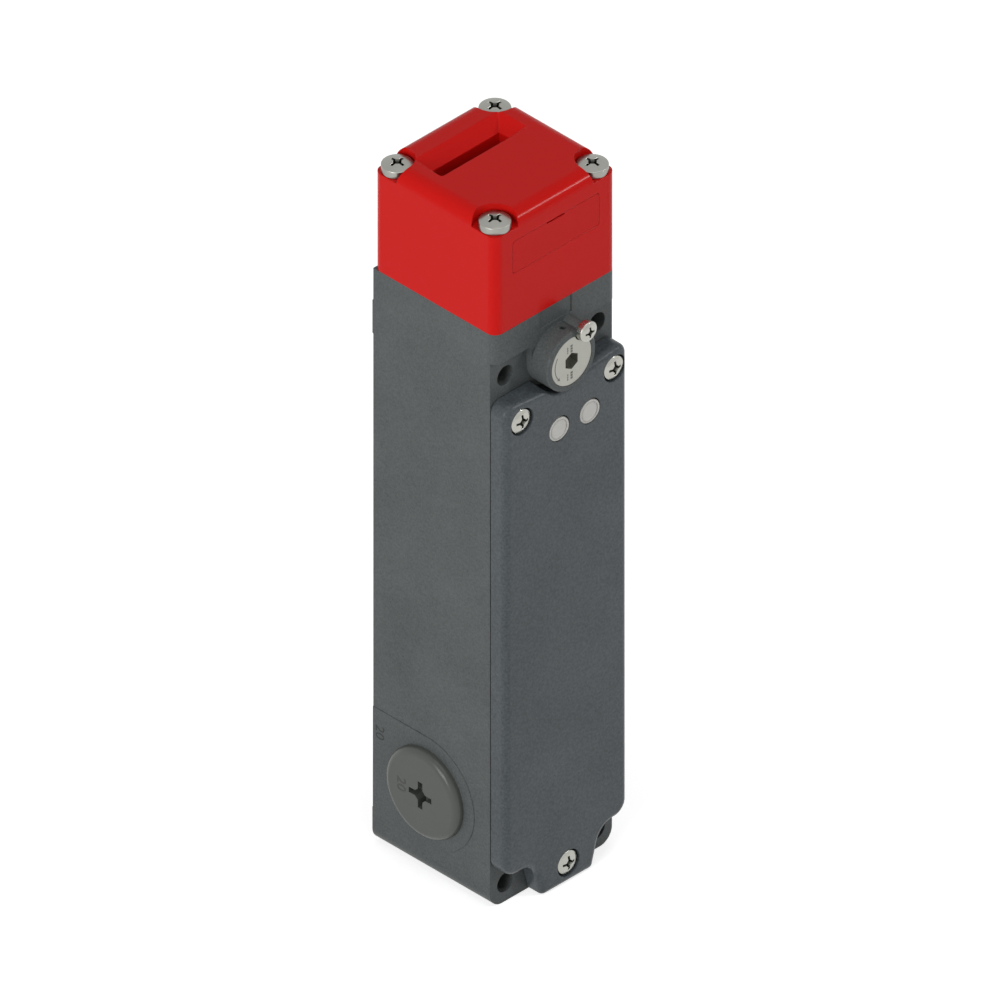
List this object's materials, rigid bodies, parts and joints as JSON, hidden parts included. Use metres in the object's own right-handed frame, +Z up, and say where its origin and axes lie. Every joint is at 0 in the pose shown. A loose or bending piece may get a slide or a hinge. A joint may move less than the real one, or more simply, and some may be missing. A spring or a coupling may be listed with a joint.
{
  "type": "guard locking switch",
  "caption": "Tall narrow guard locking switch: grey die-cast body with front cover, indicator lenses, release turret and plugged side entries, under a red actuator head.",
  "frame": {"origin": "on the bottom face of the body, under the middle of the head", "axes": "+X to the right seen from the front, +Y to the back, away from the cover, +Z up to the head"},
  "size_m": [0.045, 0.0472, 0.1945],
  "materials": {
    "body_grey": "powder coat, slightly rough",
    "cover_grey": "powder coat, slightly rough",
    "head_red": "satin",
    "cap_red": "satin",
    "screw_steel": "nickel plated",
    "lens_white": "frosted, unlit",
    "board_green": "solder mask",
    "seal_rubber": "matte",
    "cam_plastic": "matte",
    "guide_plastic": "matte",
    "shaft_metal": "turned",
    "steel": "zinc plated",
    "spring_steel": "drawn wire",
    "copper": "enamelled wire",
    "bobbin_white": "matte",
    "contact_black": "matte",
    "plunger_white": "matte",
    "plug_grey": "smooth"
  },
  "bodies": {
    "body": {"body_housing": "body_grey", "front_cover": "cover_grey", "cover_gasket": "seal_rubber", "cover_screws": "screw_steel", "led_lens_left": "lens_white", "led_lens_right": "lens_white", "led_board": "board_green", "head_housing": "head_red", "head_gasket": "seal_rubber", "head_screws": "screw_steel", "slot_cap": "cap_red", "cam_axle": "steel", "rod_spring": "spring_steel", "guide_plate": "guide_plastic", "lock_screw": "screw_steel", "armature_spring": "spring_steel", "solenoid_frame": "steel", "solenoid_screws": "screw_steel", "core_stop": "steel", "coil_bobbin": "bobbin_white", "coil_winding": "copper", "contact_block_centre": "contact_black", "contact_block_left": "contact_black", "contact_block_right": "contact_black", "contact_terminals": "screw_steel", "terminal_strip": "contact_black", "strip_screws": "screw_steel", "entry_plug_left": "plug_grey", "entry_plug_right": "plug_grey", "plug_seal_left": "seal_rubber", "plug_seal_right": "seal_rubber"},
    "cam": {"cam_wheel": "cam_plastic"},
    "rod": {"push_rod": "plunger_white", "rod_washer": "steel"},
    "release": {"release_shaft": "shaft_metal", "release_cam": "steel", "release_clip": "steel", "release_seal": "seal_rubber"},
    "lock": {"lock_bar": "steel", "bar_pin": "steel", "armature": "steel", "lock_plunger_left": "plunger_white", "lock_plunger_right": "plunger_white"}
  },
  "joints": [
    {"name": "wheel_turn", "type": "hinge", "parent": "body", "child": "cam", "pos_m": [0, 0, 0.1749], "axis": [-1, 0, 0], "range_deg": [0, 90]},
    {"name": "rod_slide", "type": "slide", "parent": "body", "child": "rod", "axis": [0, 0, -1], "range_m": [0, 0.0036], "stiffness_N_per_m": 150, "springref_m": -0.002, "deforming": ["rod_spring"]},
    {"name": "release_turn", "type": "hinge", "parent": "body", "child": "release", "pos_m": [0, -0.02, 0.1493], "axis": [0, 1, 0], "range_deg": [0, 180]},
    {"name": "lock_slide", "type": "slide", "parent": "body", "child": "lock", "axis": [0, 0, -1], "range_m": [0, 0.004], "deforming": ["armature_spring"]}
  ],
  "couplings": [
    {"joint": "wheel_turn", "follows": "rod_slide", "rad_per_m": 436.33},
    {"joint": "release_turn", "follows": "lock_slide", "rad_per_m": 785.39}
  ]
}
